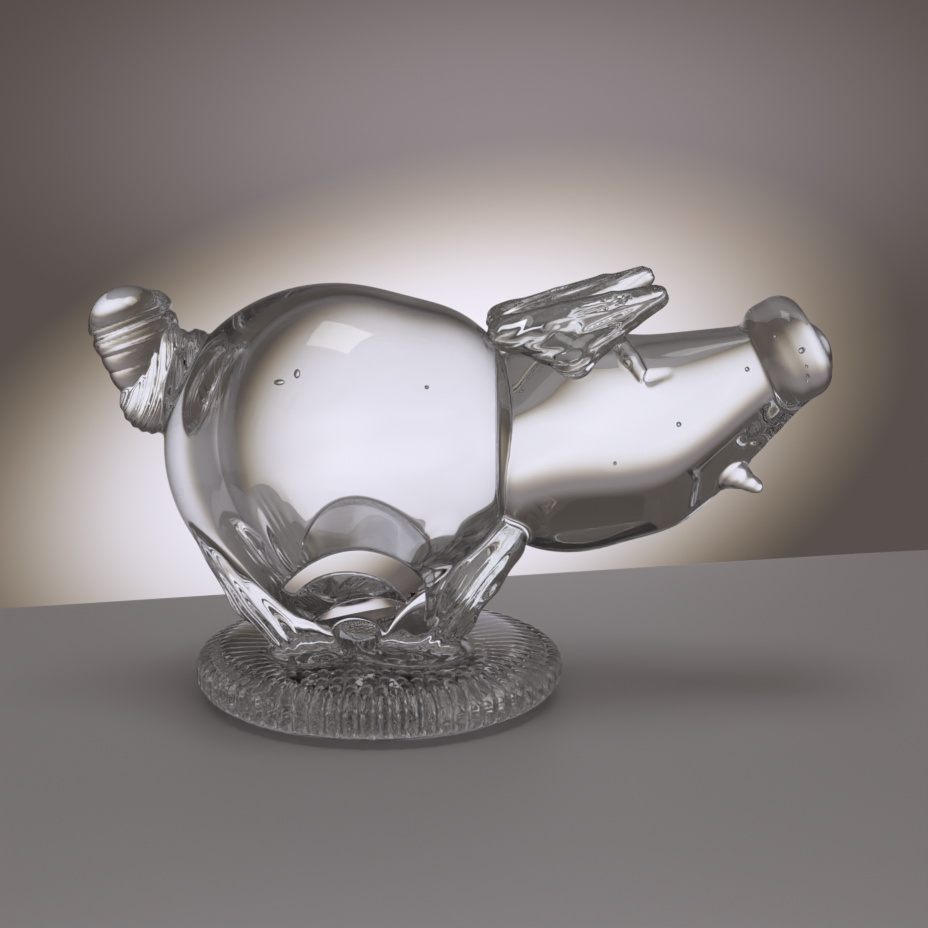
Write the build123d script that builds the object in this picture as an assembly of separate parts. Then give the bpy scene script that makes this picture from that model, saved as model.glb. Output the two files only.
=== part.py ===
from build123d import *
import math
import os

# Clear hot-worked glass pig on an oval pressed foot.
# Millimetres, +Z up, +X towards the snout, +Y towards the pig's left side.
# The origin is the middle of the flat underside of the foot.
# Each gather of glass is one solid, and neighbours meet face to face where they were fused hot.

# Foot: an oval cushion of glass, as sections (z, half length, half width)
PAD_SECTIONS = [
    (0.9, 37.6, 34.4),
    (3.0, 41.2, 37.8),
    (6.5, 42.5, 39.0),
    (9.6, 39.9, 36.4),
    (12.0, 32.5, 29.2),
    (13.4, 22.0, 19.2),
]
# Ribs pressed into the underside: a low plate with notches cut in from its edge
RIB_COUNT = 64
RIB_HEIGHT = 0.9
RIB_ROOT = 0.80
RIB_NOTCH_SHARE = 0.38
RIB_FLANK_SHARE = 0.12

# Body: a blown bubble, given as sections (x, lowest z, highest z, half width)
BODY_SECTIONS = [
    (-48.8, 58.0, 67.0, 4.5),
    (-45.5, 45.0, 78.5, 15.5),
    (-37.0, 30.5, 88.7, 25.5),
    (-23.0, 23.0, 96.4, 32.0),
    (-7.0, 21.5, 97.9, 34.0),
    (9.0, 23.5, 94.2, 32.5),
    (20.0, 28.0, 89.6, 28.5),
    (27.8, 35.0, 85.0, 24.0),
]
CAVITY_SECTIONS = [
    (-40.5, 57.0, 68.0, 6.0),
    (-35.0, 44.0, 82.0, 17.5),
    (-22.0, 36.5, 92.0, 26.5),
    (-6.0, 35.5, 94.0, 29.5),
    (9.0, 35.0, 90.6, 28.5),
    (20.0, 38.0, 86.5, 25.0),
    (26.3, 43.0, 81.5, 20.5),
]
NECK_X = 27.8

# Belly tunnel between the hind and the front legs
TUNNEL_CENTRE_X = -5.0
TUNNEL_CENTRE_Z = 19.0
TUNNEL_RADIUS = 10.0
TUNNEL_LENGTH = 100.0

# Legs: drawn stubs, from (x, y, z, radius) in the body to (x, y, z, radius) on the foot
HIND_HIP = (-29.0, 13.0, 33.0, 9.0)
HIND_HOOF = (-16.5, 12.5, 10.0, 9.5)
FRONT_HIP = (25.0, 11.0, 37.5, 7.5)
FRONT_HOOF = (10.0, 12.0, 10.0, 9.0)

# Head: a solid gather, in the same kind of sections as the body
HEAD_SECTIONS = [
    (27.8, 36.5, 86.0, 22.0),
    (31.0, 34.2, 87.0, 23.0),
    (42.0, 32.8, 86.5, 23.5),
    (60.0, 37.6, 84.8, 20.5),
    (74.0, 44.3, 86.0, 16.5),
    (84.0, 51.0, 88.5, 13.0),
    (98.0, 69.5, 92.0, 9.0),
]
SNOUT_BACK = (89.7, 0.0, 79.0)
SNOUT_BACK_TILT = 39.0

# Snout: a pressed disc
SNOUT_CENTRE = (95.3, 0.0, 82.3)
SNOUT_TILT = 28.0
SNOUT_RADIUS = 12.3
SNOUT_THICKNESS = 16.0
SNOUT_EDGE = 4.5

# Chin: a pinched peg under the jaw, from its root to its tip (x, y, z, radius)
CHIN_ROOT = (80.0, 0.0, 54.0, 3.6)
CHIN_TIP = (87.8, 0.0, 49.3, 1.4)

# Ears: leaf outline in the X-Z plane, leaning inwards from root to tip
EAR_OUTLINE = [
    (27.5, 80.0),
    (26.5, 89.0),
    (33.0, 93.5),
    (44.0, 96.5),
    (56.0, 99.6),
    (64.5, 100.4),
    (65.5, 97.0),
    (57.0, 91.0),
    (50.0, 83.0),
    (44.0, 78.0),
]
EAR_THICKNESS = 7.0
EAR_OFFSET = 10.5
EAR_SPLAY = 14.0

# Tail: root band and twisted wrap on the rump, then the curl
ROOT_CENTRE = (-43.3, 0.0, 73.5)
ROOT_SIZE = (5.6, 11.0, 13.2)
ROOT_TILT = 14.0
WRAP_TOP = (-46.5, 0.0, 81.2, 4.6)
WRAP_BOTTOM = (-50.6, 0.0, 69.2, 7.4)
CURL_TOP = (-55.7, 0.0, 87.0, 9.4)
CURL_BOTTOM = (-53.0, 0.0, 75.5, 7.2)


def section_loft(sections):
    """Smooth solid through upright ellipses set along X."""
    faces = []
    for x, low, high, half_width in sections:
        plane = Plane(origin=(x, 0, (low + high) / 2), x_dir=(0, 1, 0), z_dir=(1, 0, 0))
        faces.append(plane * Ellipse(half_width, (high - low) / 2))
    return loft(faces)


def tapered_stub(start, end):
    """Two balls joined by the cone that touches them both."""
    start_point = Vector(*start[:3])
    end_point = Vector(*end[:3])
    direction = end_point - start_point
    length = direction.length
    slope = (start[3] - end[3]) / length
    across = math.sqrt(1 - slope * slope)
    start_shift = start[3] * slope
    end_shift = end[3] * slope
    cone_height = length - start_shift + end_shift
    base_up = (Align.CENTER, Align.CENTER, Align.MIN)
    cone = Cone(start[3] * across, end[3] * across, cone_height, align=base_up)
    plane = Plane(origin=start_point, z_dir=direction)
    stub = plane * Pos(0, 0, start_shift) * cone
    stub += Pos(*start[:3]) * Sphere(start[3])
    stub += Pos(*end[:3]) * Sphere(end[3])
    return stub


def mirrored(point, side):
    return (point[0], point[1] * side, point[2], point[3])


def tilted_ellipsoid(centre, size, tilt):
    ball = scale(Sphere(1), by=size)
    return Pos(*centre) * Rot(0, tilt, 0) * ball


def pad_blank():
    """Plain cushion above the ribs."""
    faces = [Pos(0, 0, z) * Ellipse(half_length, half_width) for z, half_length, half_width in PAD_SECTIONS]
    return loft(faces)


def ribbed_plate():
    """Low oval plate with radial notches, which the foot stands on."""
    half_length, half_width = PAD_SECTIONS[0][1:]
    notch_end = RIB_NOTCH_SHARE
    rib_start = notch_end + RIB_FLANK_SHARE
    rib_end = 1 - RIB_FLANK_SHARE
    corners = []
    for rib in range(RIB_COUNT):
        for share, reach in ((0, RIB_ROOT), (notch_end, RIB_ROOT), (rib_start, 1), (rib_end, 1)):
            angle = 2 * math.pi * (rib + share) / RIB_COUNT
            corners.append((half_length * reach * math.cos(angle), half_width * reach * math.sin(angle)))
    return extrude(make_face(Polyline(*corners, close=True)), amount=RIB_HEIGHT)


def pad_foot():
    return pad_blank() + ribbed_plate()


def belly_tunnel():
    return Pos(TUNNEL_CENTRE_X, 0, TUNNEL_CENTRE_Z) * Rot(90, 0, 0) * Cylinder(TUNNEL_RADIUS, TUNNEL_LENGTH)


def snout_disc():
    blank = Cylinder(SNOUT_RADIUS, SNOUT_THICKNESS)
    blank = fillet(blank.edges(), SNOUT_EDGE)
    placed = Pos(*SNOUT_CENTRE) * Rot(0, 90 - SNOUT_TILT, 0) * blank
    return placed & front_of_snout_plane()


def front_of_snout_plane():
    """Block that fills everything in front of the back face of the snout."""
    side = 60.0
    block = Box(side, side, side, align=(Align.CENTER, Align.CENTER, Align.MIN))
    return Pos(*SNOUT_BACK) * Rot(0, 90 - SNOUT_BACK_TILT, 0) * block


def ear(side):
    outline = Spline(*EAR_OUTLINE, periodic=True)
    leaf = Plane.XZ * make_face([outline])
    slab = extrude(leaf, amount=EAR_THICKNESS / 2, both=True)
    root_z = EAR_OUTLINE[0][1]
    slab = Pos(0, 0, root_z) * Rot(-side * EAR_SPLAY, 0, 0) * Pos(0, 0, -root_z) * slab
    return Pos(0, side * EAR_OFFSET, 0) * slab


def largest(shape):
    """Main solid left after a cut."""
    return max(shape.solids(), key=lambda solid: solid.volume)


def build():
    pad = pad_blank()
    body = section_loft(BODY_SECTIONS)
    head_blank = section_loft(HEAD_SECTIONS)
    head = head_blank - front_of_snout_plane()
    tunnel = belly_tunnel()
    body_solid = body - tunnel - pad
    nodes = {
        "pad_foot": pad_foot(),
        "body_shell": body_solid - section_loft(CAVITY_SECTIONS),
        "head": head,
        "snout_disc": snout_disc(),
        "chin_peg": largest(tapered_stub(CHIN_ROOT, CHIN_TIP) - head_blank),
    }
    for label, side in (("left", 1), ("right", -1)):
        hind = tapered_stub(mirrored(HIND_HIP, side), mirrored(HIND_HOOF, side))
        front = tapered_stub(mirrored(FRONT_HIP, side), mirrored(FRONT_HOOF, side))
        nodes["hind_leg_" + label] = largest(hind - body_solid - pad)
        nodes["front_leg_" + label] = largest(front - body_solid - head_blank - pad)
        nodes["ear_" + label] = largest(ear(side) - head_blank - body_solid)
    root_blank = tilted_ellipsoid(ROOT_CENTRE, ROOT_SIZE, ROOT_TILT)
    wrap_blank = tapered_stub(WRAP_TOP, WRAP_BOTTOM)
    nodes["tail_root"] = largest(root_blank - body)
    nodes["tail_wrap"] = largest(wrap_blank - root_blank - body)
    nodes["tail_curl"] = largest(tapered_stub(CURL_TOP, CURL_BOTTOM) - wrap_blank - root_blank - body)
    return nodes


for name, solid in build().items():
    export_step(solid, "parts/" + name + ".step")
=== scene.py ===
import math

import bpy
import numpy as np
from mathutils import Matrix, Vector

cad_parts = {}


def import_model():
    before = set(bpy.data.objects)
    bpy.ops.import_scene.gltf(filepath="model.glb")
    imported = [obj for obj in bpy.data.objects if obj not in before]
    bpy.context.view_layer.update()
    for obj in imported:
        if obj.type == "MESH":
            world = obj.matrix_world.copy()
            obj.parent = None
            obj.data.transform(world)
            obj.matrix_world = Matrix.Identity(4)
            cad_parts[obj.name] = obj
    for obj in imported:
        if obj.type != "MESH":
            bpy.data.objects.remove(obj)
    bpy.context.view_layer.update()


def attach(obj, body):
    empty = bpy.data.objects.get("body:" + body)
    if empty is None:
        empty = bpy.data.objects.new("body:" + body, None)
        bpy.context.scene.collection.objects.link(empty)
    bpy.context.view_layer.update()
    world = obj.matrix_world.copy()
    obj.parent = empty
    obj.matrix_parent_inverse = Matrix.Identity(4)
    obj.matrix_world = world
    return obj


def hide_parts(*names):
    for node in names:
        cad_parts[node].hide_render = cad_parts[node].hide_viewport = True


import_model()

# A clear hot-worked glass pig. Every shape is a smooth distance field in millimetres, negative inside the
# glass. The whole figure is one field, so neighbours flow into each other as fused glass does. Its surface
# is meshed once and then shared out among the pieces, and each piece is closed where it meets the next.
MM = 0.001
STEP = 0.55

# A vertex this near to a dividing line counts as past it, so that no sliver faces are cut
SNAP = 0.02


# ---------------------------------------------------------------- fields

def ball(p, centre, radius):
    return np.linalg.norm(p - np.array(centre), axis=1) - radius


def turned(p, centre, degrees):
    """Points in the frame of a shape that is tilted nose up about Y."""
    angle = math.radians(degrees)
    q = p - np.array(centre)
    x = q[:, 0] * math.cos(angle) + q[:, 2] * math.sin(angle)
    z = -q[:, 0] * math.sin(angle) + q[:, 2] * math.cos(angle)
    return np.stack([x, q[:, 1], z], axis=1)


def egg(p, centre, radii, degrees=0.0):
    q = turned(p, centre, degrees)
    radii = np.array(radii)
    near = np.linalg.norm(q / radii, axis=1)
    slope = np.linalg.norm(q / radii ** 2, axis=1) + 1e-9
    return near * (near - 1) / slope


def strand(p, start, end):
    """Two balls (x, y, z, radius) and the cone that touches them both."""
    a = np.array(start[:3])
    b = np.array(end[:3])
    axis = b - a
    length2 = axis @ axis
    shrink = start[3] - end[3]
    side2 = length2 - shrink * shrink
    from_a = p - a
    along = from_a @ axis
    past = along - length2
    across2 = ((from_a * length2 - along[:, None] * axis) ** 2).sum(axis=1)
    key = np.sign(shrink) * shrink * shrink * across2
    side = (np.sqrt(across2 * side2 / length2) + along * shrink) / length2 - start[3]
    tip = np.sqrt(across2 + past * past * length2) / length2 - end[3]
    tail = np.sqrt(across2 + along * along * length2) / length2 - start[3]
    result = np.where(np.sign(along) * side2 * along * along * length2 < key, tail, side)
    return np.where(np.sign(past) * side2 * past * past * length2 > key, tip, result)


def fused(a, b, soft):
    """Union with a fillet about as wide as soft."""
    near = np.maximum(soft - np.abs(a - b), 0) / soft
    return np.minimum(a, b) - near ** 3 * soft / 6


def kept(a, b, soft):
    """What is inside both, with a rounded edge."""
    return -fused(-a, -b, soft)


def chain(p, points, soft):
    result = strand(p, points[0], points[1])
    for start, end in zip(points[1:-1], points[2:]):
        result = fused(result, strand(p, start, end), soft)
    return result


def both_sides(p):
    """Left and right are alike, so fields are written for the side of positive Y."""
    return np.stack([p[:, 0], np.abs(p[:, 1]), p[:, 2]], axis=1)


def ramp(value, low, high):
    t = np.clip((value - low) / (high - low), 0, 1)
    return t * t * (3 - 2 * t)


# ---------------------------------------------------------------- sub-parts as fields

BUBBLE = ((-9.5, 0, 59.0), (39.3, 34, 37.7))
SHOULDER = ((12, 0, 61.5), (22, 28, 29.5))
FUNNEL = ((-8.5, 0, 47.0, 30.0), (-3.0, 0, 22.0, 15.5))
TUNNEL_X = -4.5
TUNNEL_Z = 17.5
TUNNEL_RADIUS = 5.6


def body_field(p):
    """A blown bubble that narrows like a funnel towards the feet, with a tunnel between them."""
    bubble = fused(egg(p, *BUBBLE), egg(p, *SHOULDER), 10)
    glass = fused(bubble, strand(p, *FUNNEL), 6)
    tunnel = np.hypot(p[:, 0] - TUNNEL_X, p[:, 2] - TUNNEL_Z) - TUNNEL_RADIUS
    return kept(glass, -tunnel, 2.5)


MOUND_X = -4.0
MOUND_Z = 20.0
MOUND_RADIUS = 9.2
MOUND_STRETCH = 1.1
FOLD_X = -7.0
FOLD_Z = 24.0
FOLD_RADIUS = 14.2
FOLD_END = math.radians(150.0)
FOLD_LEAN = 0.08
FOLD_RISE = 0.09


def belly_fold(p):
    """Thick glass over the tunnel, pushed up into the hollow and curled over like a wave."""
    lean = p[:, 0] + FOLD_LEAN * p[:, 1]
    rise = p[:, 2] + FOLD_RISE * p[:, 1]
    mound = (np.hypot((lean - MOUND_X) / MOUND_STRETCH, rise - MOUND_Z) - MOUND_RADIUS) * 0.9
    x = lean - FOLD_X
    z = rise - FOLD_Z
    thickness = 2.5 - 1.3 * ramp(-x, -4.0, 13.0)
    arc = np.abs(np.hypot(x, z) - FOLD_RADIUS) - thickness
    past_end = z * math.cos(FOLD_END) - x * math.sin(FOLD_END)
    return fused(mound, kept(arc, past_end, 1.5), 2.0)


HOLLOW = ((-7.6, 0, 60.8), (31.5, 29.2, 33.0))
HOLLOW_SHOULDER = ((12.0, 0, 61.5), (22.5, 25.6, 27.6))
HOLLOW_FUNNEL = ((-7.5, 0, 47.0, 24.0), (-2.5, 0, 30.0, 11.5))
HIND_LOBE = ((-19.0, 6.0, 38.0, 7.0), (-15.0, 7.0, 26.0, 3.4))
FRONT_LOBE = ((9.0, 5.5, 38.0, 8.0), (10.0, 7.0, 24.5, 4.4))
HOLLOW_END_X = 27.2


def cavity_field(p):
    """The sealed hollow of the body, with a lobe down into the top of each leg."""
    q = both_sides(p)
    hollow = fused(egg(p, *HOLLOW), egg(p, *HOLLOW_SHOULDER), 10)
    hollow = fused(hollow, strand(p, *HOLLOW_FUNNEL), 6)
    for lobe in (HIND_LOBE, FRONT_LOBE):
        hollow = fused(hollow, strand(q, *lobe), 4)
    return kept(kept(hollow, -belly_fold(p), 1.5), p[:, 0] - HOLLOW_END_X, 1.5)


HEAD_CHAIN = [
    (46.0, 0, 60.2, 27.0),
    (62.0, 0, 61.6, 23.2),
    (76.0, 0, 66.2, 20.3),
    (86.0, 0, 71.2, 17.2),
    (92.5, 0, 77.5, 12.0),
]


def plane(p, point, normal):
    """Everything behind a flat cut whose outward direction is normal."""
    normal = np.array(normal)
    return (p - np.array(point)) @ (normal / np.linalg.norm(normal))


# Cuts that flatten the head, in order: point, outward direction, softness of the edge
HEAD_CUTS = [
    ((46.0, 18.8, 60.0), (0.16, 1.0, 0.03), 6.0),  # side
    ((40.0, 17.6, 68.5), (-0.27, 0.88, 0.40), 7.0),  # crown
    ((46.0, 18.4, 57.2), (0.14, 0.81, -0.57), 5.0),  # cheek
    ((64.5, 16.2, 57.5), (0.51, 0.74, -0.45), 6.0),  # muzzle
    ((95.4, 0, 62.8), (0.81, 0, -0.59), 3.0),  # jaw
    ((62.0, 0, 84.4), (-0.09, 0, 1.0), 2.0),  # bridge of the nose
    ((28.5, 0, 60.0), (-1.0, 0, 0), 4.0),  # neck
]
BROW = ((53.0, 0, 81.5), (8.0, 12.0, 6.0))
EYELID = [(54.0, 9.5, 85.6, 2.0), (56.8, 12.6, 82.0, 1.9), (59.4, 14.8, 78.4, 1.4)]
EYE_SOCKET = ((61.2, 15.6, 78.2, 1.8), (65.0, 14.6, 79.2, 1.3))


def head_field(p):
    """A solid wedge with flattened sides, narrower towards the snout."""
    narrow = 0.92 - 0.18 * ramp(p[:, 0], 42.0, 90.0)
    q = np.stack([p[:, 0], p[:, 1] / narrow, p[:, 2]], axis=1)
    skull = fused(chain(q, HEAD_CHAIN, 5) * narrow, egg(p, *BROW), 4)
    s = both_sides(p)
    for point, outward, soft in HEAD_CUTS:
        skull = kept(skull, plane(s, point, outward), soft)
    skull = fused(skull, chain(s, EYELID, 1), 1.4)
    return kept(skull, -strand(s, *EYE_SOCKET), 1.5)


SNOUT_CENTRE = (93.4, 0, 81.6)
SNOUT_TILT = 29.0
SNOUT_RADIUS = 12.5
SNOUT_HALF_THICKNESS = 7.0
SNOUT_EDGE = 5.4


def snout_field(p):
    """A disc with a round edge."""
    q = turned(p, SNOUT_CENTRE, SNOUT_TILT)
    across = np.hypot(q[:, 1], q[:, 2]) - (SNOUT_RADIUS - SNOUT_EDGE)
    along = np.abs(q[:, 0]) - (SNOUT_HALF_THICKNESS - SNOUT_EDGE)
    outside = np.hypot(np.maximum(across, 0), np.maximum(along, 0))
    return np.minimum(np.maximum(across, along), 0) + outside - SNOUT_EDGE


CHIN_PEG = ((81.5, 0, 53.0, 3.4), (87.0, 0, 50.0, 1.8))
CHIN_TIP = ((88.0, 0, 49.3), 1.4)
CHIN_TWIST_DEPTH = 0.1


def chin_field(p):
    """A pinched and twisted peg."""
    twist = np.sin(1.3 * (p[:, 0] - p[:, 2]) + 0.9 * p[:, 1])
    return fused(strand(p, *CHIN_PEG), ball(p, *CHIN_TIP), 1.0) + CHIN_TWIST_DEPTH * twist


# Folds of the left ear from root to tip, then its root across the head to the ball on the cheek
EAR_STRANDS = [
    [(29.0, 8.6, 87.0, 3.9), (42.0, 10.8, 90.6, 3.7), (53.0, 13.0, 94.0, 3.0), (61.6, 14.6, 96.6, 2.0)],
    [(32.0, 11.0, 86.6, 3.8), (44.0, 13.6, 87.8, 3.4), (54.0, 14.2, 92.4, 2.5), (62.2, 14.8, 96.2, 1.8)],
    [(38.0, 13.8, 85.2, 3.6), (47.0, 15.6, 85.8, 2.9), (55.6, 15.2, 91.6, 2.1), (62.2, 15.1, 95.8, 1.7)],
    [(44.0, 16.8, 82.8, 4.0), (49.6, 17.0, 86.0, 2.3), (56.6, 15.8, 91.2, 1.8), (62.0, 15.3, 95.3, 1.7)],
    [(31.0, 10.0, 87.0, 3.6), (38.0, 13.6, 85.4, 3.8), (44.2, 17.0, 82.6, 4.0)],
]
EAR_STREAK_PITCH = 2.6
EAR_STREAK_DEPTH = 0.11


def ear_field(p):
    """A thick leaf with a few long folds. Its root hangs down the cheek in a ball."""
    q = both_sides(p)
    result = chain(q, EAR_STRANDS[0], 1)
    for points in EAR_STRANDS[1:]:
        result = fused(result, chain(q, points, 1), 2.2)
    across = q[:, 2] - 0.55 * q[:, 0] + 0.6 * q[:, 1] + 0.8 * np.sin(q[:, 0] / 7.0)
    return result + EAR_STREAK_DEPTH * np.sin(2 * math.pi * across / EAR_STREAK_PITCH)


HIND_LEG = [(-29.0, 11.5, 38.5, 9.2), (-26.0, 12.0, 28.5, 7.4), (-16.4, 12.0, 15.5, 5.8)]
HIND_HOOF = ((-15.0, 10.0, 13.2), (9.5, 10.5, 3.4))
HIND_STREAK_PITCH = 3.8
HIND_STREAK_DEPTH = 0.28


def hind_streaks(p):
    """Long ridges where the hind quarter was pulled down to the foot."""
    fade = (1 - ramp(p[:, 2], 26.0, 44.0)) * (1 - ramp(p[:, 0], -16.0, -8.0)) * ramp(p[:, 2], 13.0, 20.0)
    across = 0.88 * p[:, 0] + 0.48 * p[:, 2] + 0.35 * np.abs(p[:, 1])
    uneven = 0.8 * np.sin(across / 2.3 + p[:, 2] / 9.0)
    return HIND_STREAK_DEPTH * fade * np.sin(2 * math.pi * (across + uneven) / HIND_STREAK_PITCH)


def hind_leg_field(p):
    q = both_sides(p)
    leg = chain(q, HIND_LEG, 2) + hind_streaks(p)
    return fused(leg, egg(q, *HIND_HOOF), 4)


FRONT_LEG = [
    (25.0, 6.0, 45.0, 5.0),
    (28.2, 9.0, 39.0, 5.3),
    (23.4, 11.2, 31.5, 5.2),
    (17.5, 12.0, 22.5, 4.8),
    (11.0, 12.0, 14.5, 5.4),
]
FRONT_KNEE = [(9.6, 8.6, 33.0, 8.2), (9.0, 9.6, 22.0, 7.4), (6.5, 10.5, 14.5, 6.0)]
FRONT_HOOF = ((8.0, 10.0, 13.2), (12.5, 10.5, 3.4))
FRONT_STREAK_PITCH = 2.5
FRONT_STREAK_DEPTH = 0.13


def front_streaks(q):
    fade = ramp(q[:, 2], 14.0, 20.0) * (1 - ramp(q[:, 2], 34.0, 40.0))
    across = 0.82 * q[:, 0] - 0.57 * q[:, 2] + 0.55 * q[:, 1] + 0.4 * np.sin(q[:, 2] / 6.0)
    return FRONT_STREAK_DEPTH * fade * np.sin(2 * math.pi * across / FRONT_STREAK_PITCH)


def front_leg_field(p):
    q = both_sides(p)
    leg = chain(q, FRONT_LEG, 4) + front_streaks(q)
    leg = fused(leg, chain(q, FRONT_KNEE, 4), 2.0)
    return fused(leg, egg(q, *FRONT_HOOF), 4)


TAIL_MIDDLE = (-48.5, 0, 75.0)
TAIL_TILT = -14.0
THREAD_PITCH = 2.4


def threads(p, depth):
    """Fine ridges drawn out along the wraps of the tail."""
    q = turned(p, TAIL_MIDDLE, TAIL_TILT)
    across = q[:, 0] + 0.012 * q[:, 2] ** 2 + 0.2 * q[:, 1]
    return depth * np.sin(2 * math.pi * across / THREAD_PITCH)


TAIL_ROOT = ((-43.3, 0, 73.5), (5.6, 10.6, 13.2), TAIL_TILT)
TAIL_WRAP = ((-47.4, 0, 81.0, 6.4), (-50.8, 0, 70.2, 7.9))


def tail_root_field(p):
    return egg(p, *TAIL_ROOT) + threads(p, 0.12)


def tail_wrap_field(p):
    return strand(p, *TAIL_WRAP) + threads(p, 0.16)


GOB = ((-55.7, 0, 87.0, 9.4), (-54.2, 0, 77.5, 6.7))
GOB_FOLD = ((-51.0, 3.0, 90.0, 5.0), (-48.5, 2.0, 84.0, 4.4))
CREASE_DIRECTION = (-0.345, 0.08, 0.938)
# Creases across the gob: place, depth, width
GOB_CREASES = [
    ((-56.0, 0, 87.3), 0.9, 0.8),
    ((-55.2, 0, 82.6), 0.3, 0.9),
    ((-54.6, 0, 78.8), 0.25, 0.8),
]


def tail_curl_field(p):
    """A gob of glass folded over itself, with the folds left as creases across it."""
    result = fused(strand(p, *GOB), strand(p, *GOB_FOLD), 1.0)
    for place, depth, width in GOB_CREASES:
        away = plane(p, place, CREASE_DIRECTION)
        result = result + depth * np.exp(-(away / width) ** 2)
    return result


PAD_HALF_LENGTH = 43.3
PAD_HALF_WIDTH = 39.0
PAD_MIDDLE = 6.5
PAD_DEPTH_BELOW = 9.0
PAD_ROUNDNESS = 2.9
FLUTES = 68
FLUTE_DEPTH = 0.8
RIB_DEPTH = 0.7
DENT_PITCH = 3.5
DENT_DEPTH = 0.9


def pad_reach(p):
    """Share of the way from the middle of the foot to its rim, and one wave for each flute round it."""
    x, y = p[:, 0], p[:, 1]
    reach = np.hypot(x / PAD_HALF_LENGTH, y / PAD_HALF_WIDTH)
    turn = np.arctan2(y * PAD_HALF_LENGTH, x * PAD_HALF_WIDTH)
    return reach, 0.5 + 0.5 * np.cos(FLUTES * turn)


def pad_pattern(p):
    """Height of the pressed underside above the table."""
    reach, wave = pad_reach(p)
    flute_band = ramp(reach, 0.56, 0.66) * (1 - ramp(reach, 0.90, 0.97))
    dent_band = 1 - ramp(reach, 0.52, 0.60)
    columns = np.cos(2 * math.pi * p[:, 0] / DENT_PITCH)
    rows = np.cos(2 * math.pi * p[:, 1] / DENT_PITCH)
    dent = DENT_DEPTH * dent_band * np.clip(-0.35 - 0.5 * (columns + rows), 0, 1)
    return FLUTE_DEPTH * flute_band * wave + dent


def pad_field(p):
    """An oval cushion, a little thinner in front, with ribs pressed into its side and its underside."""
    z = p[:, 2]
    reach, wave = pad_reach(p)
    depth_above = 7.0 - 0.7 * p[:, 0] / PAD_HALF_LENGTH
    height = np.abs(z - PAD_MIDDLE) / np.where(z > PAD_MIDDLE, depth_above, PAD_DEPTH_BELOW)
    cushion = (reach ** PAD_ROUNDNESS + height ** PAD_ROUNDNESS) ** (1 / PAD_ROUNDNESS) - 1
    side_band = ramp(reach, 0.60, 0.86) * ramp(z, 2.5, 4.5) * (1 - ramp(z, 9.0, 12.5))
    ribbed = cushion * PAD_DEPTH_BELOW + RIB_DEPTH * side_band * wave
    return kept(ribbed, pad_pattern(p) - z, 0.8)


# ---------------------------------------------------------------- the fused figure

def tail_field(p):
    wrapped = fused(tail_root_field(p), tail_wrap_field(p), 1.0)
    return fused(wrapped, tail_curl_field(p), 1.0)


def figure_field(p):
    head = fused(head_field(p), snout_field(p), 3.0)
    head = fused(head, chin_field(p), 3.0)
    trunk = fused(body_field(p), head, 1.2)
    trunk = fused(trunk, ear_field(p), 2.0)
    trunk = fused(trunk, tail_field(p), 1.8)
    trunk = fused(trunk, front_leg_field(p), 2.5)
    trunk = fused(trunk, hind_leg_field(p), 6.5)
    return fused(trunk, pad_field(p), 2.5)


SNOUT_BACK = np.array([89.3, 0, 79.2])
SNOUT_BACK_TILT = math.radians(37.0)
NECK_X = 28.0


def trunk_field(p):
    return np.minimum(head_field(p), body_field(p))


def snout_claim(p):
    normal = np.array([math.cos(SNOUT_BACK_TILT), 0, math.sin(SNOUT_BACK_TILT)])
    return -(p - SNOUT_BACK) @ normal


def ear_claim(p):
    return ear_field(p) - trunk_field(p)


def hind_leg_claim(p):
    return hind_leg_field(p) - np.minimum(body_field(p), front_leg_field(p))


def front_leg_claim(p):
    return front_leg_field(p) - trunk_field(p)


def on_left(claim):
    return lambda p: np.maximum(claim(p), -p[:, 1])


def on_right(claim):
    return lambda p: np.maximum(claim(p), p[:, 1])


# Who owns which stretch of the fused surface, in order: the first claim below zero wins
CLAIMS = [
    ("snout_disc", snout_claim),
    ("chin_peg", lambda p: chin_field(p) - head_field(p)),
    ("ear_left", on_left(ear_claim)),
    ("ear_right", on_right(ear_claim)),
    ("tail_curl", lambda p: tail_curl_field(p) - np.minimum(tail_wrap_field(p), body_field(p))),
    ("tail_wrap", lambda p: tail_wrap_field(p) - np.minimum(tail_root_field(p), body_field(p))),
    ("tail_root", lambda p: tail_root_field(p) - body_field(p)),
    ("pad_foot", lambda p: pad_field(p) - np.minimum(hind_leg_field(p), front_leg_field(p))),
    ("hind_leg_left", on_left(hind_leg_claim)),
    ("hind_leg_right", on_right(hind_leg_claim)),
    ("front_leg_left", on_left(front_leg_claim)),
    ("front_leg_right", on_right(front_leg_claim)),
    ("head", lambda p: NECK_X - p[:, 0]),
    ("body_shell", lambda p: np.full(len(p), -1.0)),
]


# ---------------------------------------------------------------- meshing

BLOCK = 8
FAR = 1e3


def sampled(field, low, high, step):
    """Field on a grid. Blocks far from the surface only get its sign."""
    low = np.array(low, float)
    blocks = np.ceil((np.array(high) - low) / (step * BLOCK)).astype(int)
    grid_axes = [np.arange(n) for n in blocks]
    corners = np.stack(np.meshgrid(*grid_axes, indexing="ij"), axis=-1).reshape(-1, 3)
    middles = low + (corners + 0.5) * BLOCK * step
    rough = field(middles)
    reach = 1.6 * 0.5 * math.sqrt(3) * BLOCK * step
    values = np.repeat(np.where(rough > 0, FAR, -FAR), BLOCK ** 3).astype(np.float32)
    values = values.reshape(-1, BLOCK, BLOCK, BLOCK)
    local = np.stack(np.meshgrid(*[np.arange(BLOCK)] * 3, indexing="ij"), axis=-1).reshape(-1, 3)
    near = np.flatnonzero(np.abs(rough) < reach)
    for chunk in np.array_split(near, max(1, len(near) // 400)):
        points = low + (corners[chunk][:, None, :] * BLOCK + local[None, :, :]) * step
        values[chunk] = field(points.reshape(-1, 3)).reshape(-1, BLOCK, BLOCK, BLOCK)
    values = values.reshape(*blocks, BLOCK, BLOCK, BLOCK)
    return values.transpose(0, 3, 1, 4, 2, 5).reshape(*(blocks * BLOCK))


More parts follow.
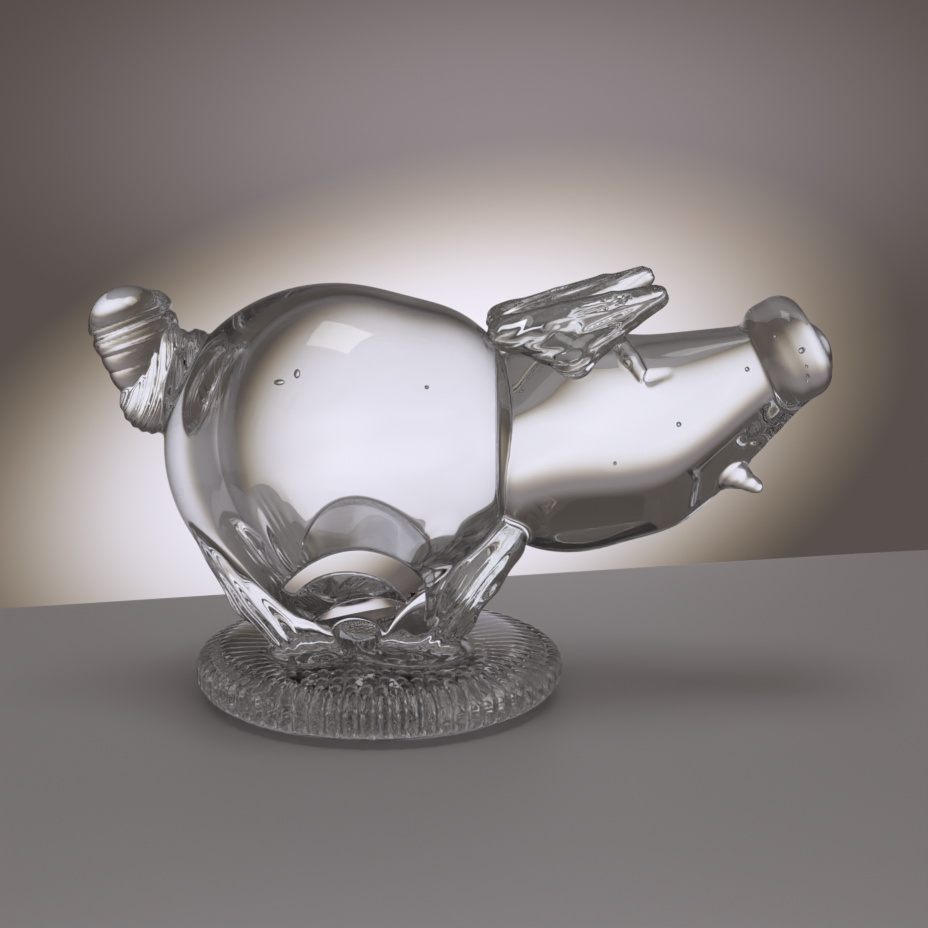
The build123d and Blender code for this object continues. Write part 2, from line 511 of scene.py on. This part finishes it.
def net(values, low, step):
    """Surface net: one vertex in each cell that the surface crosses, and a quad round each crossed edge."""
    inside = values < 0
    count = np.zeros(np.array(values.shape) - 1, np.uint8)
    offsets = np.array([(i, j, k) for i in (0, 1) for j in (0, 1) for k in (0, 1)])
    for i, j, k in offsets:
        nx, ny, nz = count.shape
        count += inside[i:i + nx, j:j + ny, k:k + nz]
    cells = np.argwhere((count > 0) & (count < 8))
    number = np.full(count.shape, -1, np.int32)
    number[tuple(cells.T)] = np.arange(len(cells))
    total = np.zeros((len(cells), 3))
    crossings = np.zeros(len(cells))
    for a in offsets:
        for axis in range(3):
            if a[axis]:
                continue
            b = a.copy()
            b[axis] = 1
            value_a = values[tuple((cells + a).T)]
            value_b = values[tuple((cells + b).T)]
            crossed = (value_a < 0) != (value_b < 0)
            share = np.where(crossed, value_a / np.where(crossed, value_a - value_b, 1), 0)
            total += crossed[:, None] * (a + share[:, None] * (b - a))
            crossings += crossed
    points = (cells + total / crossings[:, None]) * step + np.array(low)
    quads = []
    for axis in range(3):
        one, two = (axis + 1) % 3, (axis + 2) % 3
        ahead = np.roll(inside, -1, axis)
        change = inside != ahead
        last = [slice(None)] * 3
        last[axis] = slice(-1, None)
        change[tuple(last)] = False
        edges = np.argwhere(change)
        edges = edges[(edges[:, one] > 0) & (edges[:, two] > 0)]
        edges = edges[(edges[:, one] < inside.shape[one] - 1) & (edges[:, two] < inside.shape[two] - 1)]
        ring = []
        for back_one, back_two in ((1, 1), (0, 1), (0, 0), (1, 0)):
            cell = edges.copy()
            cell[:, one] -= back_one
            cell[:, two] -= back_two
            ring.append(number[tuple(cell.T)])
        ring = np.stack(ring, axis=1)
        outward = inside[tuple(edges.T)]
        quads.append(np.where(outward[:, None], ring, ring[:, ::-1]))
    return points, np.concatenate(quads)


TETRA = np.array([(1, 1, 1), (1, -1, -1), (-1, 1, -1), (-1, -1, 1)])


def slope_of(field, points, reach=0.03):
    """Value and gradient, from four samples round each point."""
    samples = [field(points + corner * reach) for corner in TETRA]
    gradient = sum(sample[:, None] * corner for sample, corner in zip(samples, TETRA)) / (4 * reach)
    return sum(samples) / 4, gradient


def settled(field, points, quads, step, rounds=3):
    """Evens the net out and puts every vertex on the surface."""
    links = np.concatenate([quads[:, (0, 1)], quads[:, (1, 2)], quads[:, (2, 3)], quads[:, (3, 0)]])
    for turn in range(rounds):
        if turn < rounds - 1:
            total = np.zeros_like(points)
            weight = np.zeros(len(points))
            for first, second in ((0, 1), (1, 0)):
                here, there = links[:, first], points[links[:, second]]
                for axis in range(3):
                    total[:, axis] += np.bincount(here, there[:, axis], len(points))
                weight += np.bincount(here, minlength=len(points))
            points = 0.5 * points + 0.5 * total / weight[:, None]
        value, gradient = slope_of(field, points)
        move = value[:, None] * gradient / ((gradient ** 2).sum(axis=1)[:, None] + 1e-6)
        far = np.linalg.norm(move, axis=1)
        move *= np.minimum(1, step / np.maximum(far, 1e-9))[:, None]
        points = points - move
    return points


def triangles_of(points, quads):
    a, b, c, d = (points[quads[:, i]] for i in range(4))
    short = np.linalg.norm(a - c, axis=1) < np.linalg.norm(b - d, axis=1)
    first = np.where(short[:, None], quads[:, (0, 1, 2)], quads[:, (0, 1, 3)])
    second = np.where(short[:, None], quads[:, (0, 2, 3)], quads[:, (1, 2, 3)])
    return np.concatenate([first, second])


def divided(points, triangles, values):
    """Cuts triangles along the line where values are zero. Returns points, those below and those above."""
    values = np.where(np.abs(values) < SNAP, SNAP, values)
    above = values[triangles] > 0
    ups = above.sum(axis=1)
    below_part = [triangles[ups == 0]]
    above_part = [triangles[ups == 3]]
    mixed = triangles[(ups == 1) | (ups == 2)]
    mixed_above = above[(ups == 1) | (ups == 2)]
    if len(mixed) == 0:
        return points, below_part[0], above_part[0]
    lone_is_above = mixed_above.sum(axis=1) == 1
    lone = np.argmax(mixed_above == lone_is_above[:, None], axis=1)
    rows = np.arange(len(mixed))
    a = mixed[rows, lone]
    b = mixed[rows, (lone + 1) % 3]
    c = mixed[rows, (lone + 2) % 3]
    pairs = np.sort(np.concatenate([np.stack([a, b], 1), np.stack([a, c], 1)]), axis=1)
    unique, index = np.unique(pairs, axis=0, return_inverse=True)
    index = index.reshape(-1)
    start, end = values[unique[:, 0]], values[unique[:, 1]]
    share = (start / (start - end))[:, None]
    new_points = points[unique[:, 0]] * (1 - share) + points[unique[:, 1]] * share
    p = len(points) + index[:len(mixed)]
    q = len(points) + index[len(mixed):]
    points = np.concatenate([points, new_points])
    corner = np.stack([a, p, q], axis=1)
    rest = np.concatenate([np.stack([p, b, c], axis=1), np.stack([p, c, q], axis=1)])
    lone_twice = np.concatenate([lone_is_above, lone_is_above])
    below_part += [corner[~lone_is_above], rest[lone_twice]]
    above_part += [corner[lone_is_above], rest[~lone_twice]]
    return points, np.concatenate(below_part), np.concatenate(above_part)


def shared_out(points, triangles):
    """Triangles of each piece, by the order of claims."""
    share = {}
    rest = triangles
    for name, claim in CLAIMS:
        values = claim(points)
        points, mine, rest = divided(points, rest, values)
        share[name] = mine
    return points, share


def open_edges(triangles):
    edges = np.concatenate([triangles[:, (0, 1)], triangles[:, (1, 2)], triangles[:, (2, 0)]])
    back = edges[:, ::-1]
    size = int(edges.max()) + 1
    codes = edges[:, 0].astype(np.int64) * size + edges[:, 1]
    back_codes = back[:, 0].astype(np.int64) * size + back[:, 1]
    return edges[~np.isin(codes, back_codes)]


def loops_of(edges):
    """Groups open edges into loops, by the vertices that they share."""
    root = {}

    def find(v):
        while root[v] != v:
            root[v] = root[root[v]]
            v = root[v]
        return v

    for a, b in edges.tolist():
        root.setdefault(a, a)
        root.setdefault(b, b)
        root[find(a)] = find(b)
    groups = {}
    for a, b in edges.tolist():
        groups.setdefault(find(a), []).append((a, b))
    return list(groups.values())


def closed(points, triangles):
    """Adds a fan over each open loop. Returns points, all faces and how many of them are not caps."""
    outer = len(triangles)
    faces = [triangles]
    for loop in loops_of(open_edges(triangles)):
        loop = np.array(loop)
        centre = points[np.unique(loop)].mean(axis=0)
        points = np.concatenate([points, centre[None]])
        hub = np.full(len(loop), len(points) - 1)
        faces.append(np.stack([loop[:, 1], loop[:, 0], hub], axis=1))
    return points, np.concatenate(faces), outer


def tidy_mesh(points, faces):
    used, index = np.unique(faces, return_inverse=True)
    return points[used], index.reshape(faces.shape)


def surface(field, low, high, step):
    points, quads = net(sampled(field, low, high, step), low, step)
    points = settled(field, points, quads, step)
    return points, triangles_of(points, quads)


# ---------------------------------------------------------------- small inclusions

def sphere_faces(rings=8, segments=12):
    """Closed unit ball as triangles."""
    points = [(0, 0, 1)]
    for ring in range(1, rings):
        polar = math.pi * ring / rings
        out = math.sin(polar)
        for segment in range(segments):
            turn = 2 * math.pi * segment / segments
            points.append((out * math.cos(turn), out * math.sin(turn), math.cos(polar)))
    points.append((0, 0, -1))
    faces = []
    last = len(points) - 1
    for segment in range(segments):
        after = (segment + 1) % segments
        faces.append((0, 1 + segment, 1 + after))
        faces.append((last, last - segments + after, last - segments + segment))
        for ring in range(rings - 2):
            a = 1 + ring * segments + segment
            b = 1 + ring * segments + after
            faces.append((a, a + segments, b + segments))
            faces.append((a, b + segments, b))
    return np.array(points, float), np.array(faces)


# Seeds, the small bubbles in the glass: piece, centre, radii
SEEDS = [
    ("head", (83.0, -8.0, 78.7), (0.55, 0.45, 0.55)),
    ("head", (67.6, -10.0, 66.9), (0.6, 0.5, 0.6)),
    ("head", (32.6, -13.0, 74.8), (0.7, 0.5, 0.5)),
    ("head", (53.4, -9.0, 58.6), (0.4, 0.4, 0.4)),
    ("head", (61.0, 7.0, 72.0), (0.35, 0.35, 0.35)),
    ("snout_disc", (95.2, -6.0, 82.7), (0.6, 0.5, 0.6)),
    ("snout_disc", (96.6, -5.0, 77.4), (0.5, 0.5, 1.0)),
    ("snout_disc", (96.2, -7.0, 79.8), (0.4, 0.4, 0.4)),
    ("snout_disc", (90.4, -4.0, 84.6), (0.5, 0.4, 0.5)),
    ("body_shell", (11.9, -24.1, 77.8), (0.5, 0.35, 0.45)),
    ("body_shell", (-19.4, -26.2, 79.3), (1.2, 0.3, 0.7)),
    ("body_shell", (-15.6, -25.9, 81.1), (0.7, 0.3, 1.1)),
]


def voids_of(name, hollow):
    """Closed surfaces inside a piece: the blown hollow and the seeds."""
    ball_points, ball_faces = sphere_faces()
    parts = [hollow] if name == "body_shell" else []
    for owner, centre, radii in SEEDS:
        if owner == name:
            outward = unit(ball_points / np.array(radii))
            parts.append((ball_points * np.array(radii) + np.array(centre), ball_faces, outward))
    return parts


# ---------------------------------------------------------------- materials

def colour_band(nodes, steps):
    """Soft ramp through (position, colour) steps."""
    colours = nodes.new("ShaderNodeValToRGB")
    band = colours.color_ramp
    band.interpolation = "B_SPLINE"
    band.elements[0].position, band.elements[0].color = steps[0][0], (*steps[0][1], 1)
    band.elements[1].position, band.elements[1].color = steps[-1][0], (*steps[-1][1], 1)
    for position, colour in steps[1:-1]:
        band.elements.new(position).color = (*colour, 1)
    return colours


# Painted shade: share of light let through, from face on to grazing, so the glass colour is painted darker
# along its outline, where real glass looks dark
PAINTED_RIM_SHADE_STEPS = [(0.0, 1.0), (0.40, 1.0), (0.65, 0.42), (0.85, 0.12), (1.0, 0.03)]
GLASS_IOR = 1.5
WAVE_STRENGTH = 0.05
WAVE_HEIGHT = 0.4


def faint_waves(nodes, links, shader, scale):
    """Faint waves that cooling and tools leave in glass."""
    place = nodes.new("ShaderNodeTexCoord")
    noise = nodes.new("ShaderNodeTexNoise")
    noise.inputs["Scale"].default_value = scale
    noise.inputs["Detail"].default_value = 1.5
    bump = nodes.new("ShaderNodeBump")
    bump.inputs["Strength"].default_value = WAVE_STRENGTH
    bump.inputs["Distance"].default_value = WAVE_HEIGHT * MM
    links.new(place.outputs["Object"], noise.inputs["Vector"])
    links.new(noise.outputs["Fac"], bump.inputs["Height"])
    links.new(bump.outputs["Normal"], shader.inputs["Normal"])


def glass(name, colour, scale):
    material = bpy.data.materials.new(name)
    material.use_nodes = True
    nodes, links = material.node_tree.nodes, material.node_tree.links
    shader = nodes["Principled BSDF"]
    shader.inputs["Roughness"].default_value = 0.0
    shader.inputs["IOR"].default_value = GLASS_IOR
    shader.inputs["Transmission Weight"].default_value = 1.0
    # Painted shade: the glass colour darkens along the outline as the surface turns away from view
    weight = nodes.new("ShaderNodeLayerWeight")
    rim = colour_band(nodes, [(at, tuple(part * share for part in colour)) for at, share in PAINTED_RIM_SHADE_STEPS])
    links.new(weight.outputs["Facing"], rim.inputs["Fac"])
    links.new(rim.outputs["Color"], shader.inputs["Base Color"])
    faint_waves(nodes, links, shader, scale)
    return material


def joint_material():
    """Where two gathers are fused there is no surface, so light goes straight on."""
    material = bpy.data.materials.new("fused_joint")
    material.use_nodes = True
    nodes, links = material.node_tree.nodes, material.node_tree.links
    nodes.remove(nodes["Principled BSDF"])
    clear = nodes.new("ShaderNodeBsdfTransparent")
    links.new(clear.outputs["BSDF"], nodes["Material Output"].inputs["Surface"])
    return material


# ---------------------------------------------------------------- pieces

def piece(name, points, faces, outer, normals, look, joint):
    mesh = bpy.data.meshes.new(name)
    mesh.from_pydata((points * MM).tolist(), [], faces.tolist())
    mesh.materials.append(look)
    mesh.materials.append(joint)
    slots = np.zeros(len(faces), np.int32)
    slots[outer:] = 1
    mesh.polygons.foreach_set("material_index", slots)
    mesh.polygons.foreach_set("use_smooth", np.ones(len(faces), bool))
    mesh.normals_split_custom_set_from_vertices(normals.tolist())
    item = bpy.data.objects.new(name, mesh)
    bpy.context.scene.collection.objects.link(item)
    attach(item, "root")
    return item


def with_hollow(points, faces, outer, normals, hollow):
    """Puts a closed void, or several, inside a piece. Its faces look into the void."""
    hollow_points, hollow_faces, hollow_normals = hollow
    shifted = hollow_faces[:, ::-1] + len(points)
    faces = np.concatenate([faces[:outer], shifted, faces[outer:]])
    points = np.concatenate([points, hollow_points])
    normals = np.concatenate([normals, -hollow_normals])
    return points, faces, outer + len(shifted), normals


def unit(vectors):
    return vectors / np.maximum(np.linalg.norm(vectors, axis=1)[:, None], 1e-9)


SLOTS = {"body_shell": "blown_glass", "pad_foot": "pressed_glass"}
FIGURE_SPACE = ((-70, -44, -4), (110, 44, 106))
HOLLOW_SPACE = ((-46, -36, 14), (32, 36, 100))


def build_figure():
    looks = {
        "blown_glass": glass("blown_glass", (0.985, 0.99, 0.988), 22.0),
        "solid_glass": glass("solid_glass", (0.955, 0.98, 0.97), 30.0),
        "pressed_glass": glass("pressed_glass", (0.965, 0.985, 0.975), 60.0),
    }
    joint = joint_material()
    points, triangles = surface(figure_field, *FIGURE_SPACE, STEP)
    points, share = shared_out(points, triangles)
    cavity_points, cavity_faces = surface(cavity_field, *HOLLOW_SPACE, STEP)
    cavity_normals = unit(slope_of(cavity_field, cavity_points)[1])
    for name, _ in CLAIMS:
        piece_points, faces, outer = closed(points, share[name])
        piece_points, faces = tidy_mesh(piece_points, faces)
        normals = unit(slope_of(figure_field, piece_points)[1])
        for void in voids_of(name, (cavity_points, cavity_faces, cavity_normals)):
            piece_points, faces, outer, normals = with_hollow(piece_points, faces, outer, normals, void)
        slot = SLOTS.get(name, "solid_glass")
        item = piece(name + "_glass", piece_points, faces, outer, normals, looks[slot], joint)
        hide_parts(name)


# ---------------------------------------------------------------- camera, floor and light

CAMERA_TARGET = (20.0, 0, 54.9)
CAMERA_DISTANCE = 417.0
CAMERA_ELEVATION = math.radians(14)


def camera():
    data = bpy.data.cameras.new("camera")
    item = bpy.data.objects.new("camera", data)
    bpy.context.scene.collection.objects.link(item)
    data.lens = 70
    data.sensor_width = 36
    target = Vector(CAMERA_TARGET) * MM
    away = Vector((0, -math.cos(CAMERA_ELEVATION), math.sin(CAMERA_ELEVATION)))
    item.location = target + away * CAMERA_DISTANCE * MM
    item.rotation_euler = (target - item.location).to_track_quat("-Z", "Y").to_euler()
    bpy.context.scene.camera = item


NO_LIMIT = 1e6
ROOM_MIDDLE = 20.0
ROOM_HALF_LENGTH = 250.0
ROOM_HALF_WIDTH = 200.0
ROOM_TOP = 520.0
ROOM_CORNER = 0.45
TABLE_HEIGHT = 45.0
SPOT_MIDDLE = (0.0, 0, 8.0)
SPOT_SIZE = (176.0, NO_LIMIT, 100.0)
SPOT_TILT = 18.0
HAZE_MIDDLE = (34.0, 0, 116.0)
HAZE_SIZE = (185.0, NO_LIMIT, 84.0)
SIDE_MIDDLE = (0, 0, 30.0)
SIDE_SIZE = (NO_LIMIT, 125.0, 90.0)


def rounded_plan(turn, half_length, half_width, power):
    """Point on a rounded rectangle. The smaller the power, the sharper its corners."""
    x = math.copysign(abs(math.cos(turn)) ** power, math.cos(turn)) * half_length
    y = math.copysign(abs(math.sin(turn)) ** power, math.sin(turn)) * half_width
    return x, y


def lit_patch(nodes, links, place, middle, size, tilt, steps):
    """Oval patch that runs through the whole room, coloured from its middle outwards."""
    mapping = nodes.new("ShaderNodeMapping")
    mapping.vector_type = "TEXTURE"
    mapping.inputs["Location"].default_value = Vector(middle) * MM
    mapping.inputs["Rotation"].default_value = (0, -math.radians(tilt), 0)
    mapping.inputs["Scale"].default_value = Vector(size) * MM
    far = nodes.new("ShaderNodeVectorMath")
    far.operation = "LENGTH"
    colours = colour_band(nodes, steps)
    links.new(place.outputs["Object"], mapping.inputs["Vector"])
    links.new(mapping.outputs["Vector"], far.inputs[0])
    links.new(far.outputs["Value"], colours.inputs["Fac"])
    return colours.outputs["Color"]


SPOT_STEPS = [
    (0.00, (0.86, 0.85, 0.98)),
    (0.40, (0.78, 0.765, 0.87)),
    (0.58, (0.63, 0.605, 0.66)),
    (0.72, (0.37, 0.325, 0.275)),
    (0.85, (0.14, 0.105, 0.06)),
    (1.00, (0.0, 0.0, 0.0)),
]
HAZE_STEPS = [
    (0.00, (0.20, 0.18, 0.20)),
    (0.35, (0.17, 0.155, 0.17)),
    (0.70, (0.06, 0.053, 0.055)),
    (1.00, (0.0, 0.0, 0.0)),
]
SIDE_STEPS = [
    (0.00, (0.62, 0.60, 0.68)),
    (0.45, (0.50, 0.48, 0.53)),
    (0.75, (0.16, 0.14, 0.14)),
    (1.00, (0.0, 0.0, 0.0)),
]
DARK_PAPER = (0.038, 0.031, 0.030)


def wall_material():
    """Paper with a soft lit patch on each side. The camera looks through the near side from outside."""
    material = bpy.data.materials.new("wall")
    material.use_nodes = True
    nodes, links = material.node_tree.nodes, material.node_tree.links
    nodes.remove(nodes["Principled BSDF"])
    place = nodes.new("ShaderNodeTexCoord")
    patches = [
        lit_patch(nodes, links, place, SPOT_MIDDLE, SPOT_SIZE, SPOT_TILT, SPOT_STEPS),
        lit_patch(nodes, links, place, HAZE_MIDDLE, HAZE_SIZE, 0, HAZE_STEPS),
        lit_patch(nodes, links, place, SIDE_MIDDLE, SIDE_SIZE, 0, SIDE_STEPS),
    ]
    total = None
    for patch in patches:
        summed = nodes.new("ShaderNodeVectorMath")
        summed.operation = "ADD"
        summed.inputs[1].default_value = DARK_PAPER
        if total:
            links.new(total, summed.inputs[1])
        links.new(patch, summed.inputs[0])
        total = summed.outputs["Vector"]
    glow = nodes.new("ShaderNodeEmission")
    clear = nodes.new("ShaderNodeBsdfTransparent")
    geometry = nodes.new("ShaderNodeNewGeometry")
    mix = nodes.new("ShaderNodeMixShader")
    links.new(total, glow.inputs["Color"])
    links.new(geometry.outputs["Backfacing"], mix.inputs["Fac"])
    links.new(glow.outputs["Emission"], mix.inputs[1])
    links.new(clear.outputs["BSDF"], mix.inputs[2])
    links.new(mix.outputs["Shader"], nodes["Material Output"].inputs["Surface"])
    return material


def walls():
    """Upright walls all round, with rounded corners."""
    around = 160
    levels = 24
    points = []
    for level in range(levels + 1):
        height = -TABLE_HEIGHT + (ROOM_TOP + TABLE_HEIGHT) * level / levels
        for step in range(around):
            turn = 2 * math.pi * step / around
            x, y = rounded_plan(turn, ROOM_HALF_LENGTH, ROOM_HALF_WIDTH, ROOM_CORNER)
            points.append(Vector((x + ROOM_MIDDLE, y, height)) * MM)
    faces = []
    for level in range(levels):
        for step in range(around):
            after = (step + 1) % around
            low, high = level * around, (level + 1) * around
            faces.append((low + step, high + step, high + after, low + after))
    stage_mesh("walls", points, faces, wall_material())


def stage_mesh(name, points, faces, material):
    mesh = bpy.data.meshes.new(name)
    mesh.from_pydata(points, [], faces)
    mesh.materials.append(material)
    item = bpy.data.objects.new(name, mesh)
    bpy.context.scene.collection.objects.link(item)


PALE_FLOOR = (0.70, 0.68, 0.69)


def table_material():
    """Plain, pale and matt."""
    material = bpy.data.materials.new("table")
    material.use_nodes = True
    shader = material.node_tree.nodes["Principled BSDF"]
    shader.inputs["Base Color"].default_value = (*PALE_FLOOR, 1)
    shader.inputs["Roughness"].default_value = 0.55
    return material


TABLE_MIDDLE = (35.0, -75.0)
TABLE_HALF = (215.0, 165.0)
TABLE_TURN = 12.0
TABLE_EDGE = 6.0
TABLE_CORNER = 0.2


def table():
    """Low plinth with a rounded edge. Its far edge runs just behind the figure."""
    around = 192
    turn_by = math.radians(TABLE_TURN)
    half_length, half_width = TABLE_HALF
    # Rings from the middle of the top outwards and down: scale, inset, height
    levels = [(0.5, 1.0, 0.0)]
    for angle in range(0, 91, 15):
        bend = math.radians(angle)
        levels.append((1.0, TABLE_EDGE * (1 - math.sin(bend)), TABLE_EDGE * (math.cos(bend) - 1)))
    levels.append((1.0, 0.0, -TABLE_HEIGHT))
    points = []
    for scale, inset, height in levels:
        for step in range(around):
            turn = 2 * math.pi * step / around
            x, y = rounded_plan(turn, half_length - inset, half_width - inset, TABLE_CORNER)
            x *= scale
            y *= scale
            across = x * math.cos(turn_by) - y * math.sin(turn_by) + TABLE_MIDDLE[0]
            deep = x * math.sin(turn_by) + y * math.cos(turn_by) + TABLE_MIDDLE[1]
            points.append(Vector((across, deep, height)) * MM)
    faces = [tuple(range(around))]
    for level in range(len(levels) - 1):
        for step in range(around):
            after = (step + 1) % around
            upper, lower = level * around, (level + 1) * around
            faces.append((upper + step, lower + step, lower + after, upper + after))
    stage_mesh("table", points, faces, table_material())


FLOOR_HALF = 1500.0


def floor():
    """The ground under the table."""
    half = FLOOR_HALF * MM
    drop = -TABLE_HEIGHT * MM
    corners = [(-half, -half, drop), (half, -half, drop), (half, half, drop), (-half, half, drop)]
    stage_mesh("floor", corners, [(0, 1, 2, 3)], table_material())


LAMP_PLACE = (0.0, -50.0, 900.0)
LAMP_TARGET = (20.0, 0, 50.0)
LAMP_SIZE = 350.0
LAMP_POWER = 1.1


def overhead_light():
    """Wide soft lamp. It is left out of what shows through the glass."""
    data = bpy.data.lights.new("overhead", "AREA")
    data.size = LAMP_SIZE * MM
    data.energy = LAMP_POWER
    item = bpy.data.objects.new("overhead", data)
    item.location = Vector(LAMP_PLACE) * MM
    item.rotation_euler = (Vector(LAMP_TARGET) - Vector(LAMP_PLACE)).to_track_quat("-Z", "Y").to_euler()
    item.visible_transmission = False
    bpy.context.scene.collection.objects.link(item)


DIM_AIR = (0.028, 0.024, 0.024)


def world():
    data = bpy.data.worlds.new("world")
    bpy.context.scene.world = data
    data.use_nodes = True
    data.node_tree.nodes["Background"].inputs["Color"].default_value = (*DIM_AIR, 1)


def light_paths():
    """Enough bounces for light to cross every wall of the glass."""
    cycles = bpy.context.scene.cycles
    cycles.max_bounces = 32
    cycles.transmission_bounces = 32
    cycles.glossy_bounces = 12
    cycles.transparent_max_bounces = 64


camera()
floor()
table()
walls()
overhead_light()
world()
build_figure()
light_paths()
bpy.context.scene.view_settings.view_transform = "Standard"

bpy.context.view_layer.update()
